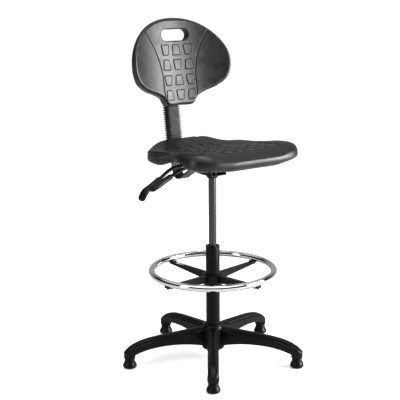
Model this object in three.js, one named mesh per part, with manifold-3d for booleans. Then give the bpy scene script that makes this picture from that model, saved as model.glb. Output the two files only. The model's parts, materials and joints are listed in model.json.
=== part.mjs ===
// Drafting chair: a moulded polyurethane seat and back on a twin-lever mechanism, a gas lift,
// a sliding foot ring and a five-legged base on glides.
// Millimetres, +Z up. The chair faces -Y, the sitter's right hand is at -X, and the floor is z = 0.
// Inside the chair group the gas lift's axis is x = y = 0; the group is then moved so that the
// origin lies on the floor at the middle of the chair's bounding box.
import * as THREE from "three";
import { mergeVertices } from "three/addons/utils/BufferGeometryUtils.js";
import Module from "manifold-3d";

const wasm = await Module();
wasm.setup();

// ---------------------------------------------------------------- driving dimensions
const GAP = 0.3; // clearance between pieces that touch

const BASE = {
  legs: 5,
  firstLegDeg: 90,
  glideCircle: 312, // radius that the glides stand on
  legStart: 24, // radius where a leg begins inside the hub
  legTopAtHub: 126,
  legFall: 26, // steady fall of a leg's top from the hub to the glide
  noseFall: 22, // the further fall where the leg turns down over the glide
  archTop: 73, // highest point of the arch under a leg
  archAtHub: 20, // how far the arch comes down at the hub
  archAtTip: 28,
  legHalf: 19, // half width at the narrowest place
  legFlare: 3, // extra half width at the hub and the tip
  skin: 8, // from a leg's crown down to the hollow under it
  wall: 4,
  cells: 3, // hollows under each leg
  cellStart: 48,
  cellEnd: 284,
  bossRadius: 20.5,
  bossBottom: 38,
  bossTop: 62,
  nose: 19, // how far a leg runs on past the middle of its glide
  hubRadius: 41,
  hubBottom: 40,
  hubTop: 131,
};
const GLIDE = {
  footRadius: 16,
  flareRadius: 25,
  flareHeight: 11,
  neckRadius: 17.5,
  height: 36,
  stemRadius: 5.5,
  stemBottom: 20,
  stemTop: 60,
};
const COLUMN = {
  radius: 25,
  wall: 1.5,
  taper: 1.2, // radius lost between the hub's top and the tube's bottom
  bottom: 30,
  floor: 4,
  top: 421,
  bushLength: 82,
  bushLip: 3,
  clip: 2.3,
  washer: 2.7,
};
const LIFT = {
  radius: 14,
  bore: 12,
  taper: 0.8, // radius lost inside the mechanism's socket
  bottom: 335,
  top: 709,
  cap: 4,
  rodRadius: 5,
  rodBottom: 26,
  sealLength: 14,
  pistonLength: 10,
  valveRadius: 3,
  valveTop: 716.5,
  valveLength: 16,
};
const RING = {
  radius: 217.5, // to the tube's centre
  tube: 12.5,
  wall: 2,
  height: 333, // of the tube's centre
  arms: 4,
  headingDeg: 9, // direction of the first arm
  hubRadius: COLUMN.radius + 6.5,
  hubBottom: 274,
  hubTop: 320,
  flangeRadius: COLUMN.radius + 11, // of the plate on the hub that the arms' tops run into
  colletWall: 2,
  colletLip: 3,
  nutRadius: COLUMN.radius + 12,
  nutHeight: 12, // the nut hangs under the hub
  nutScallops: 12,
  armHalf: 8,
  armThick: 4,
  armStart: COLUMN.radius + 4,
  armEnd: 209,
  armTopAtHub: 319.5,
  armTopAtTip: 322,
  webHalf: 3,
  webAtHub: 30, // depth of the web under the arm's top
  webAtTip: 12,
  clawEnd: 227,
  clawBottom: 312,
  clawTop: 327,
  clawHalf: 7.5,
  screwRadius: 2.6,
  screwHead: 5,
};
const MECH = {
  half: 32,
  sheet: 3,
  front: -39,
  rear: 110,
  bottom: 682,
  top: 741.7,
  floorEnd: 40,
  pivotY: 66,
  pivotZ: 694,
  pinRadius: 6,
  pinHead: 9,
  pinHeadDepth: 5,
  washerRadius: 12,
  springWire: 2,
  springRadius: 9.7,
  springTurns: 4,
  socketRadius: 21,
  socketBottom: 671,
  socketTop: 706,
  leverX: -21,
  leverZ: 720,
  leverPin: 2,
  leverBoss: 6.5,
  leverHalf: 6.5,
  earHeight: 9,
};
const ARM = { // the bent foot of the back's upright
  earInner: 16,
  earOuter: 22,
  earRadius: 11.5,
  start: 80, // y where the flat bar begins behind the pivot
};
const LEVER = {
  radius: 6,
  liftY: 0,
  reclineY: 42,
  gripHalf: 16, // widest half width of a paddle
  gripThick: 10, // half thickness of a paddle
};
const SEAT = {
  plate: 3,
  plateHalf: 95,
  plateFront: -100,
  plateRear: 116,
  board: 9,
  boardMargin: 12,
  boltX: 78,
  boltFront: -82,
  boltRear: 96,
  boltRadius: 4,
  boltHead: 6.5,
  frontHalf: 230, // widest half width, near the front
  waistHalf: 198,
  rearHalf: 198, // of the rear lobes
  front: -254,
  rear: 190,
  underside: 733,
  undersideSlope: -0.02,
  waistRise: 11,
  recessInset: 40, // width of the rim round the hollow underside
  middle: 768, // top of the foam at the middle
  frontRise: 23,
  sideRise: 10,
  hump: 21, // height of the rear hump
  edge: 20,
};
const BACK = {
  reclineDeg: 7.7,
  footY: 228, // the upright's line passes through footY, footZ
  footZ: 700,
  barHalf: 20,
  bar: 6,
  barTop: 335,
  padBottom: 200, // along the upright, like every height below
  padHeight: 312,
  padFront: -71, // front of the pad at its bottom
  padTilt: 0.04, // how much more than the upright the pad leans back
  padThickTop: 30,
  padThickBottom: 46,
  padEdge: 12,
  wingHalf: 207,
  wingForward: 52, // how far the wing tips reach in front of the middle
  slotHeight: 251, // above the pad's bottom
  slotHalfLength: 57,
  slotHalfWidth: 21,
  carrierBottom: 225,
  carrierTop: 307,
  carrierHalf: 35,
  carrierFront: -26,
  carrierRear: 10,
  boltX: 27.5,
  boltInset: 15,
  boltRadius: 3.5,
  boltHead: 6,
  insertHalf: 46,
  insertBottom: 218,
  insertTop: 316,
  insert: 8,
  knobRadius: 21,
  knobDepth: 24,
  knobLobes: 6,
  screwRadius: 4,
  stopRadius: 2.5,
  stopHeight: 329,
  stopHalfLength: 7,
};
const BELLOWS = {
  halfWidth: 31,
  halfDepth: 17,
  fold: 2.6, // depth of each fold
  folds: 28,
  bottom: 6,
  top: 222,
  skin: 1.4,
};

// ---------------------------------------------------------------- materials
const finish = (color, roughness, metalness) =>
  new THREE.MeshStandardMaterial({ color, roughness, metalness });
const foam = () => finish(0x222224, 0.5, 0);
const nylon = () => finish(0x1c1c1d, 0.55, 0);
const blackSteel = () => finish(0x161616, 0.4, 0.6);
const chrome = () => finish(0xd8dadc, 0.08, 1);
const steel = () => finish(0x9a9c9e, 0.3, 1);
const rubber = () => finish(0x1a1a1a, 0.8, 0);
const plywood = () => finish(0xa07d52, 0.8, 0);

// ---------------------------------------------------------------- helpers
const lerp = THREE.MathUtils.lerp;
const smooth = THREE.MathUtils.smoothstep;
const radians = THREE.MathUtils.degToRad;

const chair = new THREE.Group();
const upright = new THREE.Group(); // its z runs up the back's upright and its y points behind it
upright.position.set(0, BACK.footY, BACK.footZ);
upright.rotation.x = -radians(BACK.reclineDeg);
chair.add(upright);

// Welds a geometry's vertices and turns its faces outwards.
function welded(geometry) {
  const bare = new THREE.BufferGeometry();
  bare.setAttribute("position", geometry.getAttribute("position").clone());
  if (geometry.index) bare.setIndex(geometry.index.clone());
  const g = mergeVertices(bare, 1e-4);
  const p = g.getAttribute("position");
  const index = g.index.array;
  const [a, b, c] = [new THREE.Vector3(), new THREE.Vector3(), new THREE.Vector3()];
  const kept = [];
  let volume = 0;
  for (let i = 0; i < index.length; i += 3) {
    const [ia, ib, ic] = [index[i], index[i + 1], index[i + 2]];
    if (ia === ib || ib === ic || ic === ia) continue;
    a.fromBufferAttribute(p, ia);
    b.fromBufferAttribute(p, ib);
    c.fromBufferAttribute(p, ic);
    volume += a.dot(b.cross(c));
    kept.push(ia, ib, ic);
  }
  g.setIndex(volume < 0 ? kept.reverse() : kept);
  return g;
}

function toSolid(geometry) {
  const g = welded(geometry);
  return new wasm.Manifold(
    new wasm.Mesh({
      numProp: 3,
      vertProperties: new Float32Array(g.getAttribute("position").array),
      triVerts: new Uint32Array(g.index.array),
    }),
  );
}

function toGeometry(solid) {
  const mesh = solid.getMesh();
  const g = new THREE.BufferGeometry();
  g.setAttribute("position", new THREE.BufferAttribute(mesh.vertProperties, 3));
  g.setIndex(new THREE.BufferAttribute(mesh.triVerts, 1));
  return g;
}

const join = (shapes) => toGeometry(shapes.map(toSolid).reduce((a, b) => a.add(b)));
const cut = (shape, cutters) =>
  toGeometry(cutters.map(toSolid).reduce((a, b) => a.subtract(b), toSolid(shape)));

function add(name, geometry, material, parent = chair) {
  const mesh = new THREE.Mesh(welded(geometry), material);
  mesh.name = name;
  parent.add(mesh);
  return mesh;
}

// Moves a mesh out to a radius round the column, and turns it to that heading.
function turnTo(mesh, radius, heading) {
  mesh.position.set(radius * Math.cos(heading), radius * Math.sin(heading), 0);
  mesh.rotation.z = heading;
}

// A solid of revolution about Z from [radius, height] pairs. The profile starts and ends on the
// axis, or closes on itself when closed is true.
function turned(profile, segments = 24, closed = false) {
  const points = profile.map(([r, z]) => new THREE.Vector2(r, z));
  if (closed) points.push(points[0].clone());
  return new THREE.LatheGeometry(points, segments).rotateX(Math.PI / 2);
}

const disc = (radius, bottom, top, segments) =>
  turned([[0, bottom], [radius, bottom], [radius, top], [0, top]], segments);
const sleeve = (inner, outer, bottom, top, segments) =>
  turned([[inner, bottom], [outer, bottom], [outer, top], [inner, top]], segments, true);
const alongX = (geometry) => geometry.rotateY(Math.PI / 2);
const alongY = (geometry) => geometry.rotateX(-Math.PI / 2);

function box(x0, x1, y0, y1, z0, z1) {
  const g = new THREE.BoxGeometry(x1 - x0, y1 - y0, z1 - z0);
  return g.translate((x0 + x1) / 2, (y0 + y1) / 2, (z0 + z1) / 2);
}

// A flat outline of [y, z] pairs, thickened from x = -half to x = half.
function slab(outline, half) {
  const shape = new THREE.Shape(outline.map(([y, z]) => new THREE.Vector2(y, z)));
  const g = new THREE.ExtrudeGeometry(shape, { depth: 2 * half, steps: 1, bevelEnabled: false });
  g.translate(0, 0, -half);
  // the shape's x, its y and the depth become y, z and x
  return g.applyMatrix4(new THREE.Matrix4().set(0, 0, 1, 0, 1, 0, 0, 0, 0, 1, 0, 0, 0, 0, 0, 1));
}

// A slab standing on a heading round Z, its outline given as [radius, height] pairs.
const fin = (outline, half, heading) => slab(outline, half).rotateZ(heading - Math.PI / 2);

// A flat rectangle with rounded corners, from z0 to z1.
function plate(x0, x1, y0, y1, corner, z0, z1) {
  const shape = new THREE.Shape();
  shape.absarc(x1 - corner, y1 - corner, corner, 0, Math.PI / 2);
  shape.absarc(x0 + corner, y1 - corner, corner, Math.PI / 2, Math.PI);
  shape.absarc(x0 + corner, y0 + corner, corner, Math.PI, 1.5 * Math.PI);
  shape.absarc(x1 - corner, y0 + corner, corner, 1.5 * Math.PI, 2 * Math.PI);
  const g = new THREE.ExtrudeGeometry(shape, {
    depth: z1 - z0,
    bevelEnabled: false,
    curveSegments: 4,
  });
  return g.translate(0, 0, z0);
}

// A round bar swept along a smooth curve through the given points.
function bentRod(points, radius, steps = 12) {
  const path = new THREE.CatmullRomCurve3(points.map((p) => new THREE.Vector3(...p)));
  const section = new THREE.Shape();
  section.absarc(0, 0, radius, 0, 2 * Math.PI);
  return new THREE.ExtrudeGeometry(section, {
    extrudePath: path,
    steps,
    curveSegments: 3,
    bevelEnabled: false,
  });
}

// A skin round a spine. place(share, c, s) puts a point of the unit circle (c, s) at a share
// of the length; the middles of the two ends have c = s = 0.
function loft(sides, steps, place) {
  const g = new THREE.CylinderGeometry(1, 1, 1, sides, steps);
  const p = g.getAttribute("position");
  for (let i = 0; i < p.count; i += 1) {
    p.setXYZ(i, ...place(p.getY(i) + 0.5, p.getX(i), p.getZ(i)));
  }
  return g;
}

// Squares off a unit circle's coordinate, for sections with rounded corners.
const squared = (v) => Math.sign(v) * Math.sqrt(Math.abs(v));

// The band of the given thickness round a flat centre line, as [x, y] pairs.
function band(line, thickness) {
  const near = [];
  const far = [];
  line.forEach((p, i) => {
    const before = line[Math.max(i - 1, 0)];
    const after = line[Math.min(i + 1, line.length - 1)];
    const along = after.clone().sub(before).normalize();
    const side = new THREE.Vector2(-along.y, along.x).multiplyScalar(thickness / 2);
    near.push([p.x + side.x, p.y + side.y]);
    far.unshift([p.x - side.x, p.y - side.y]);
  });
  return [...near, ...far];
}

// A symmetrical closed outline from its half: [across, along] pairs from one end to the other.
function mirrored(half) {
  const other = half.slice(1, -1).reverse().map(([x, y]) => [-x, y]);
  const points = [...half, ...other].map(([x, y]) => new THREE.Vector3(x, y, 0));
  return new THREE.CatmullRomCurve3(points, true, "centripetal");
}

// A cushion inside an outline round a centre. place(x, y, share) gives the point over x, y at a
// share of the thickness, and edge is the width of the rounded rim.
function cushion(outline, centre, edge, segments, place) {
  const rim = [[1.5, 0.94], [1.87, 0.8], [2, 0.5], [1.87, 0.2], [1.5, 0.06]];
  const profile = [[0, 1], [0.4, 1], [0.75, 1], [1, 1], ...rim, [1, 0], [0.5, 0], [0, 0]];
  const g = turned(profile, segments);
  const p = g.getAttribute("position");
  for (let i = 0; i < p.count; i += 1) {
    const turn = Math.atan2(p.getY(i), p.getX(i)) / (2 * Math.PI);
    const radius = Math.hypot(p.getX(i), p.getY(i));
    const onEdge = outline.getPointAt((turn + 1) % 1).sub(new THREE.Vector3(0, centre, 0));
    const length = onEdge.length();
    const out = (length - edge) * Math.min(radius, 1) + edge * Math.max(radius - 1, 0);
    onEdge.multiplyScalar(out / length);
    p.setXYZ(i, ...place(onEdge.x, onEdge.y + centre, p.getZ(i)));
  }
  return g;
}

// ---------------------------------------------------------------- base
const legShare = (r) => (r - BASE.legStart) / (BASE.glideCircle - BASE.legStart);
const legTop = (share) => BASE.legTopAtHub - BASE.legFall * share - BASE.noseFall * share ** 8;
function legBottom(share) {
  const fall = lerp(BASE.archAtHub, BASE.archAtTip, share);
  const arch = BASE.archTop - fall * Math.abs(2 * share - 1) ** 2.25;
  return Math.max(arch, BASE.bossBottom + 1);
}
function legHalf(share) {
  // the width follows the round boss past the middle of the glide
  const beyond = Math.max(share - 1, 0) * (BASE.glideCircle - BASE.legStart);
  const round = Math.sqrt(BASE.bossRadius ** 2 - beyond ** 2);
  return Math.min(BASE.legHalf + BASE.legFlare * (1 - Math.min(share * 2, 1)) ** 2, round);
}
const legHeading = (i) => radians(BASE.firstLegDeg) + (2 * Math.PI * i) / BASE.legs;

function legOutside(heading) {
  const end = legShare(BASE.glideCircle + BASE.nose);
  return loft(12, 8, (along, c, s) => {
    const share = end * (1 - (1 - along) ** 1.6); // the sections crowd together at the nose
    const middle = (legTop(share) + legBottom(share)) / 2;
    const half = (legTop(share) - legBottom(share)) / 2;
    const r = lerp(BASE.legStart, BASE.glideCircle, share);
    return [r, -legHalf(share) * squared(c), middle + half * squared(s)];
  }).rotateZ(heading);
}

function legBoss(heading) {
  return disc(BASE.bossRadius, BASE.bossBottom, BASE.bossTop, 16)
    .translate(BASE.glideCircle, 0, 0)
    .rotateZ(heading);
}

// The hollows under one leg, with cross ribs left between them.
function legCells(heading) {
  const pitch = (BASE.cellEnd - BASE.cellStart) / BASE.cells;
  return Array.from({ length: BASE.cells }, (_, i) => {
    const from = BASE.cellStart + i * pitch;
    const to = from + pitch - BASE.wall;
    const half = legHalf(legShare((from + to) / 2)) - BASE.wall;
    return fin([
      [from, 0],
      [from, legTop(legShare(from)) - BASE.skin],
      [to, legTop(legShare(to)) - BASE.skin],
      [to, 0],
    ], half, heading);
  });
}

function columnSeat(extra) {
  // the tapered space for the column's lower end
  return turned([
    [0, COLUMN.bottom - 1],
    [COLUMN.radius - COLUMN.taper + extra, COLUMN.bottom - 1],
    [COLUMN.radius + extra, BASE.hubTop],
    [COLUMN.radius + extra, BASE.hubTop + 20],
    [0, BASE.hubTop + 20],
  ], 20);
}

function addBase() {
  const chamfer = 4;
  const hub = turned([
    [0, BASE.hubBottom],
    [BASE.hubRadius - chamfer, BASE.hubBottom],
    [BASE.hubRadius, BASE.hubBottom + chamfer],
    [BASE.hubRadius - 2, BASE.hubTop - 2 * chamfer],
    [BASE.hubRadius - 2 - chamfer, BASE.hubTop],
    [0, BASE.hubTop],
  ], 20);
  const solids = [hub];
  const holes = [columnSeat(GAP)];
  for (let i = 0; i < BASE.legs; i += 1) {
    const heading = legHeading(i);
    solids.push(legOutside(heading), legBoss(heading));
    const stemHole = disc(GLIDE.stemRadius + GAP, 0, GLIDE.stemTop + GAP, 8);
    holes.push(stemHole.translate(BASE.glideCircle, 0, 0).rotateZ(heading));
    holes.push(...legCells(heading));
  }
  add("base_star", cut(join(solids), holes), nylon());
  for (let i = 0; i < BASE.legs; i += 1) {
    addGlide(i + 1, legHeading(i));
  }
}

function addGlide(number, heading) {
  const hole = GLIDE.stemRadius + GAP;
  const shoe = turned([
    [0, 0],
    [GLIDE.footRadius, 0],
    [GLIDE.flareRadius * 0.9, GLIDE.flareHeight * 0.4],
    [GLIDE.flareRadius, GLIDE.flareHeight],
    [GLIDE.flareRadius * 0.9, GLIDE.flareHeight * 1.6],
    [GLIDE.neckRadius * 1.08, GLIDE.height * 0.7],
    [GLIDE.neckRadius, GLIDE.height],
    [hole, GLIDE.height],
    [hole, GLIDE.stemBottom - GAP],
    [0, GLIDE.stemBottom - GAP],
  ], 16);
  turnTo(add(`glide_${number}`, shoe, nylon()), BASE.glideCircle, heading);
  const stem = disc(GLIDE.stemRadius, GLIDE.stemBottom, GLIDE.stemTop, 8);
  turnTo(add(`glide_stem_${number}`, stem, steel()), BASE.glideCircle, heading);
}

// ---------------------------------------------------------------- column and gas lift
function addColumn() {
  const foot = COLUMN.radius - COLUMN.taper;
  const floorTop = COLUMN.bottom + COLUMN.floor;
  const rodHole = LIFT.rodRadius + GAP;
  const tube = turned([
    [rodHole, COLUMN.bottom],
    [foot, COLUMN.bottom],
    [COLUMN.radius, BASE.hubTop],
    [COLUMN.radius, COLUMN.top],
    [COLUMN.radius - COLUMN.wall, COLUMN.top],
    [COLUMN.radius - COLUMN.wall, BASE.hubTop],
    [foot - COLUMN.wall, floorTop],
    [rodHole, floorTop],
  ], 20, true);
  add("column_tube", tube, blackSteel());
  const bushHole = LIFT.radius + GAP;
  const bushOutside = COLUMN.radius - COLUMN.wall - GAP;
  const lipBottom = COLUMN.top + GAP;
  const bush = turned([
    [bushHole, COLUMN.top - COLUMN.bushLength],
    [bushOutside, COLUMN.top - COLUMN.bushLength],
    [bushOutside, lipBottom],
    [COLUMN.radius + 1, lipBottom],
    [COLUMN.radius + 1, lipBottom + COLUMN.bushLip],
    [bushHole, lipBottom + COLUMN.bushLip],
  ], 20, true);
  add("guide_bush", bush, nylon());
  const washerBottom = floorTop + GAP;
  add("thrust_washer", sleeve(rodHole, foot - 4, washerBottom, washerBottom + COLUMN.washer, 20), steel());
  const clipTop = COLUMN.bottom - GAP;
  add("rod_clip", sleeve(rodHole, rodHole + 4, clipTop - COLUMN.clip, clipTop, 16), steel());
}

function addLift() {
  const sealTop = LIFT.bottom + GAP + LIFT.sealLength;
  const rodHole = LIFT.rodRadius + GAP;
  const pistonTop = sealTop + GAP + LIFT.pistonLength;
  add("piston_rod", disc(LIFT.rodRadius, LIFT.rodBottom, pistonTop, 16), steel());
  add("piston", sleeve(rodHole, LIFT.bore - GAP, sealTop + GAP, pistonTop, 20), steel());
  add("rod_seal", sleeve(rodHole, LIFT.bore - GAP, LIFT.bottom + GAP, sealTop, 20), rubber());
  const valveHole = LIFT.valveRadius + GAP;
  const cylinder = turned([
    [LIFT.bore, LIFT.bottom],
    [LIFT.radius, LIFT.bottom],
    [LIFT.radius, MECH.socketBottom],
    [LIFT.radius - LIFT.taper, LIFT.top],
    [valveHole, LIFT.top],
    [valveHole, LIFT.top - LIFT.cap],
    [LIFT.bore, LIFT.top - LIFT.cap],
  ], 20, true);
  add("gas_cylinder", cylinder, blackSteel());
  const valve = disc(LIFT.valveRadius, LIFT.valveTop - LIFT.valveLength, LIFT.valveTop, 12);
  add("valve_button", valve, steel());
}

// ---------------------------------------------------------------- foot ring
const armHeading = (i) => radians(RING.headingDeg) + (2 * Math.PI * i) / RING.arms;

const ringTube = (radius) => new THREE.TorusGeometry(RING.radius, radius, 10, 48)
  .translate(0, 0, RING.height);

function armSolids(heading) {
  const top = (r) => lerp(
    RING.armTopAtHub,
    RING.armTopAtTip,
    smooth(r, RING.armStart, RING.armEnd),
  );
  const flange = [
    [RING.armStart, top(RING.armStart) - RING.armThick],
    [RING.armEnd, top(RING.armEnd) - RING.armThick],
    [RING.armEnd, top(RING.armEnd)],
    [RING.armStart, top(RING.armStart)],
  ];
  const web = [
    [RING.armStart, top(RING.armStart) - RING.webAtHub],
    [RING.armEnd, top(RING.armEnd) - RING.webAtTip],
    [RING.armEnd, top(RING.armEnd) - 1],
    [RING.armStart, top(RING.armStart) - 1],
  ];
  const claw = [
    [RING.armEnd - 12, RING.clawBottom],
    [RING.clawEnd, RING.clawBottom + 4],
    [RING.clawEnd, RING.clawTop],
    [RING.armEnd - 12, RING.clawTop],
  ];
  return [
    fin(flange, RING.armHalf, heading),
    fin(web, RING.webHalf, heading),
    fin(claw, RING.clawHalf, heading),
  ];
}

function addFootRing() {
  const collet = COLUMN.radius + GAP;
  const hubHole = collet + RING.colletWall + GAP;
  const solids = [
    disc(RING.hubRadius, RING.hubBottom, RING.hubTop, 20),
    disc(RING.flangeRadius, RING.armTopAtHub - RING.armThick, RING.armTopAtHub, 20),
  ];
  const holes = [
    disc(hubHole, RING.hubBottom - 1, RING.hubTop + 1, 20),
    ringTube(RING.tube + GAP),
  ];
  const screwHoles = [];
  for (let i = 0; i < RING.arms; i += 1) {
    const heading = armHeading(i);
    solids.push(...armSolids(heading));
    const hole = disc(RING.screwRadius + GAP, RING.clawBottom - 10, RING.height, 10);
    hole.translate(RING.radius, 0, 0).rotateZ(heading);
    screwHoles.push(hole);
    const screw = turned([
      [0, RING.clawBottom - 2],
      [RING.screwHead, RING.clawBottom - 2],
      [RING.screwHead, RING.clawBottom - GAP],
      [RING.screwRadius, RING.clawBottom - GAP],
      [RING.screwRadius, RING.height - 1],
      [0, RING.height - 1],
    ], 10);
    turnTo(add(`ring_screw_${i + 1}`, screw, steel()), RING.radius, heading);
  }
  add("ring_spider", cut(join(solids), [...holes, ...screwHoles]), nylon());
  // the screw holes open the ring's hollow to the outside
  add("foot_ring", cut(ringTube(RING.tube), [ringTube(RING.tube - RING.wall), ...screwHoles]), chrome());
  const colletEnd = RING.hubBottom - RING.nutHeight + 2;
  add("ring_collet", turned([
    [collet, colletEnd],
    [collet + RING.colletWall, colletEnd],
    [collet + RING.colletWall, RING.hubTop + GAP],
    [hubHole + 2, RING.hubTop + GAP],
    [hubHole + 2, RING.hubTop + RING.colletLip],
    [collet, RING.hubTop + RING.colletLip],
  ], 20, true), nylon());
  addRingNut(hubHole + GAP);
}

// The clamping nut, with finger scallops round it.
function addRingNut(bore) {
  const bottom = RING.hubBottom - RING.nutHeight;
  const scallops = Array.from({ length: RING.nutScallops }, (_, i) => {
    const turn = (2 * Math.PI * i) / RING.nutScallops;
    const groove = disc(4, bottom - 1, RING.hubBottom, 6);
    return groove.translate(RING.nutRadius + 2, 0, 0).rotateZ(turn);
  });
  const blank = sleeve(bore, RING.nutRadius, bottom, RING.hubBottom - GAP, 20);
  add("ring_nut", cut(blank, scallops), nylon());
}

// ---------------------------------------------------------------- mechanism
const pinHole = (radius, half) =>
  alongX(disc(radius, -half, half, 16)).translate(0, MECH.pivotY, MECH.pivotZ);

function leverPinShape(y, radius, half) {
  return alongY(disc(radius, -half, half, 10)).translate(MECH.leverX, y, MECH.leverZ);
}

function addHousing() {
  const side = (inset) => [
    [MECH.front - (inset ? 1 : 0), MECH.bottom + inset],
    [20, MECH.bottom + inset],
    [MECH.pivotY + 6, MECH.bottom + 3 + inset],
    [MECH.rear + (inset ? 1 : 0), MECH.bottom + 20 + inset],
    [MECH.rear + (inset ? 1 : 0), MECH.top + inset],
    [MECH.front - (inset ? 1 : 0), MECH.top + inset],
  ];
  const levers = [LEVER.liftY, LEVER.reclineY];
  const earGap = MECH.leverHalf + GAP;
  const ears = levers.flatMap((y) => [-1, 1].map((way) => {
    const inner = y + way * earGap;
    const outer = y + way * (earGap + MECH.sheet);
    return box(
      1 - MECH.half, MECH.leverX + 8, Math.min(inner, outer), Math.max(inner, outer),
      MECH.leverZ - MECH.earHeight, MECH.leverZ + MECH.earHeight,
    );
  }));
  const channel = cut(slab(side(0), MECH.half), [slab(side(MECH.sheet), MECH.half - MECH.sheet)]);
  const windows = levers.map((y) => box(
    -MECH.half - 1, MECH.sheet + 1 - MECH.half, y - earGap, y + earGap,
    MECH.leverZ - 12, MECH.leverZ + 12,
  ));
  const holes = [
    disc(MECH.socketRadius + GAP, MECH.bottom - 1, MECH.bottom + 10, 24),
    box(
      MECH.sheet - MECH.half, MECH.half - MECH.sheet,
      MECH.floorEnd, MECH.rear + 1, MECH.bottom - 1, MECH.bottom + 26,
    ),
    pinHole(MECH.pinRadius + GAP, MECH.half + 1),
    ...windows,
    ...levers.map((y) => leverPinShape(y, MECH.leverPin + GAP, earGap + MECH.sheet + 1)),
  ];
  add("mechanism_housing", cut(join([channel, ...ears]), holes), blackSteel());
}

function addSocket() {
  const inner = LIFT.radius + GAP;
  add("taper_socket", turned([
    [inner, MECH.socketBottom],
    [MECH.socketRadius - 2, MECH.socketBottom],
    [MECH.socketRadius, MECH.socketBottom + 5],
    [MECH.socketRadius, MECH.socketTop],
    [inner - LIFT.taper, MECH.socketTop],
  ], 24, true), blackSteel());
}

function addPivot() {
  const outside = MECH.half + GAP;
  const pin = turned([
    [0, -outside - MECH.pinHeadDepth],
    [MECH.pinHead, -outside - MECH.pinHeadDepth],
    [MECH.pinHead, -outside],
    [MECH.pinRadius, -outside],
    [MECH.pinRadius, outside + MECH.pinHeadDepth],
    [0, outside + MECH.pinHeadDepth],
  ], 16);
  const seatPin = (geometry) => alongX(geometry).translate(0, MECH.pivotY, MECH.pivotZ);
  add("recline_pin", seatPin(pin), steel());
  const nutEnd = outside + MECH.pinHeadDepth - 1;
  const bore = disc(MECH.pinRadius + GAP, outside - 1, nutEnd + 1, 16);
  const nut = cut(disc(MECH.pinHead, outside, nutEnd, 6), [bore]);
  add("recline_nut", seatPin(nut), steel());
  const inner = ARM.earOuter + GAP;
  const outer = MECH.half - MECH.sheet - GAP;
  const spacer = () => sleeve(MECH.pinRadius + GAP, MECH.washerRadius, inner, outer, 16);
  add("clamp_washer_left", seatPin(spacer()), steel());
  add("clamp_washer_right", seatPin(spacer().rotateX(Math.PI)), steel());
  const reach = ARM.earInner - MECH.springWire - 1;
  const turns = Array.from({ length: MECH.springTurns * 6 + 1 }, (_, i) => {
    const angle = (i / 6) * 2 * Math.PI;
    return [
      lerp(-reach, reach, i / (MECH.springTurns * 6)),
      MECH.pivotY + MECH.springRadius * Math.cos(angle),
      MECH.pivotZ + MECH.springRadius * Math.sin(angle),
    ];
  });
  add("return_spring", bentRod(turns, MECH.springWire, MECH.springTurns * 6), steel());
}

// ---------------------------------------------------------------- levers
// A paddle round the end of a lever's rod: it widens and then rounds off at the tip.
function paddle(points) {
  const path = new THREE.CatmullRomCurve3(points.map((p) => new THREE.Vector3(...p)));
  const across = new THREE.Vector3(0, 1, 0);
  return loft(10, 7, (share, c, s) => {
    const spot = path.getPointAt(share);
    const normal = path.getTangentAt(share).cross(across).normalize();
    const tip = Math.sqrt(1 - Math.max(0, (share - 0.82) / 0.18) ** 2 * 0.6);
    const half = lerp(LEVER.gripThick, LEVER.gripHalf, smooth(share, 0, 0.6)) * tip;
    const thick = LEVER.gripThick * tip;
    return [
      spot.x + normal.x * thick * s,
      spot.y + half * c,
      spot.z + normal.z * thick * s,
    ];
  });
}

function addLever(name, y, rodPoints, gripPoints) {
  const boss = alongY(disc(MECH.leverBoss, -MECH.leverHalf, MECH.leverHalf, 14))
    .translate(MECH.leverX, y, MECH.leverZ);
  const eye = leverPinShape(y, MECH.leverPin + GAP, MECH.leverHalf + 1);
  const bar = cut(join([bentRod(rodPoints, LEVER.radius), boss]), [eye]);
  add(`${name}_lever`, bar, blackSteel());
  add(`${name}_lever_pin`, leverPinShape(y, MECH.leverPin, MECH.leverHalf + 5), steel());
  const last = new THREE.Vector3(...rodPoints.at(-1));
  const before = new THREE.Vector3(...rodPoints.at(-2));
  const beyond = last.clone().add(last.clone().sub(before).normalize());
  const bore = bentRod([...rodPoints.slice(0, -1), beyond.toArray()], LEVER.radius + GAP);
  add(`${name}_lever_grip`, cut(paddle(gripPoints), [bore]), nylon());
}

function addLevers() {
  const z = MECH.leverZ;
  addLever("lift", LEVER.liftY, [
    [5, LEVER.liftY, z + 3.6],
    [MECH.leverX, LEVER.liftY, z],
    [-70, -4, z],
    [-120, -15, z + 1],
    [-158, -20, z - 8],
    [-214, -20, z - 31],
  ], [
    [-186, -20, z - 19],
    [-228, -20, z - 38],
    [-270, -20, z - 56],
  ]);
  addLever("recline", LEVER.reclineY, [
    [-6, LEVER.reclineY, z],
    [MECH.leverX, LEVER.reclineY, z],
    [-80, 36, z],
    [-130, 27, z],
    [-165, 25, z - 9],
    [-225, 25, z - 47],
  ], [
    [-203, 25, z - 33],
    [-240, 25, z - 56],
    [-264, 25, z - 72],
    [-280, 25, z - 99],
  ]);
}

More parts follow.
